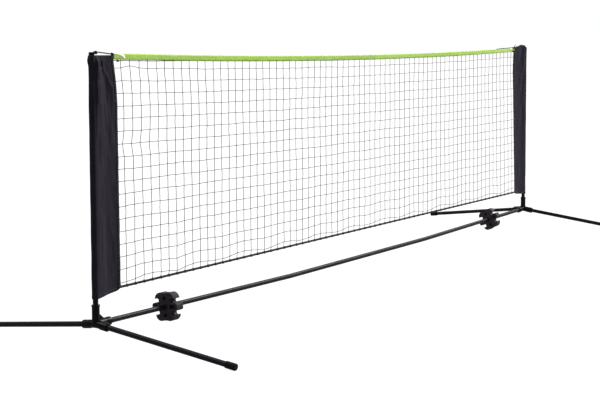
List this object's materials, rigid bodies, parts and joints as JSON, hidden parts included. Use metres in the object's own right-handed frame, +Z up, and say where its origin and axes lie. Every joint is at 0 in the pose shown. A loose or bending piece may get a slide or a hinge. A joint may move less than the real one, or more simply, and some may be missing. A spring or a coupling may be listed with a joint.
{
  "type": "portable sports net",
  "caption": "Low free-standing net on two posts, with sleeves, folded top band, T-shaped feet, crossbar and pole clips.",
  "frame": {"origin": "on the floor, half way between the two posts and in the plane of the net", "axes": "+X along the net towards the right post, +Y to the rear, +Z up"},
  "size_m": [3.0252, 0.9856, 0.8417],
  "materials": {
    "steel_tube": "satin black powder coat",
    "moulded_nylon": "fine moulded grain",
    "cap_rubber": "matt moulded",
    "sleeve_cloth": "plain weave polyester with a faint sheen",
    "net_twine": "knotted braided twine",
    "band_tape": "ribbed woven tape",
    "cord_fibre": "braided cord"
  },
  "bodies": {
    "base": {"left_fitting": "moulded_nylon", "right_fitting": "moulded_nylon", "bar_left": "steel_tube", "bar_middle": "steel_tube", "bar_right": "steel_tube"},
    "left_front_leg": {"left_front_leg": "steel_tube", "left_front_foot": "cap_rubber"},
    "left_rear_leg": {"left_rear_leg": "steel_tube", "left_rear_foot": "cap_rubber"},
    "right_front_leg": {"right_front_leg": "steel_tube", "right_front_foot": "cap_rubber"},
    "right_rear_leg": {"right_rear_leg": "steel_tube", "right_rear_foot": "cap_rubber"},
    "left_clip": {"left_clip": "moulded_nylon"},
    "right_clip": {"right_clip": "moulded_nylon"},
    "net_and_posts": {"left_post": "steel_tube", "right_post": "steel_tube", "left_post_cap": "moulded_nylon", "right_post_cap": "moulded_nylon", "left_sleeve": "sleeve_cloth", "right_sleeve": "sleeve_cloth", "net_mesh": "net_twine", "top_band": "band_tape", "top_cord": "cord_fibre", "bottom_cord": "cord_fibre"}
  },
  "joints": [
    {"name": "left_front_leg_pull", "type": "slide", "parent": "base", "child": "left_front_leg", "axis": [0, -0.9928, -0.1195], "range_m": [0, 0.035]},
    {"name": "left_rear_leg_pull", "type": "slide", "parent": "base", "child": "left_rear_leg", "axis": [0, 0.9928, -0.1195], "range_m": [0, 0.035]},
    {"name": "right_front_leg_pull", "type": "slide", "parent": "base", "child": "right_front_leg", "axis": [0, -0.9928, -0.1195], "range_m": [0, 0.035]},
    {"name": "right_rear_leg_pull", "type": "slide", "parent": "base", "child": "right_rear_leg", "axis": [0, 0.9928, -0.1195], "range_m": [0, 0.035]},
    {"name": "left_clip_turn", "type": "hinge", "parent": "base", "child": "left_clip", "pos_m": [-1.5, 0, 0.068], "axis": [0.9999, 0, -0.016], "continuous": true},
    {"name": "right_clip_turn", "type": "hinge", "parent": "base", "child": "right_clip", "pos_m": [1.5, 0, 0.068], "axis": [-0.9999, 0, -0.016], "continuous": true},
    {"name": "net_lift", "type": "slide", "parent": "base", "child": "net_and_posts", "axis": [0, 0, 1], "range_m": [0, 0.045]}
  ]
}
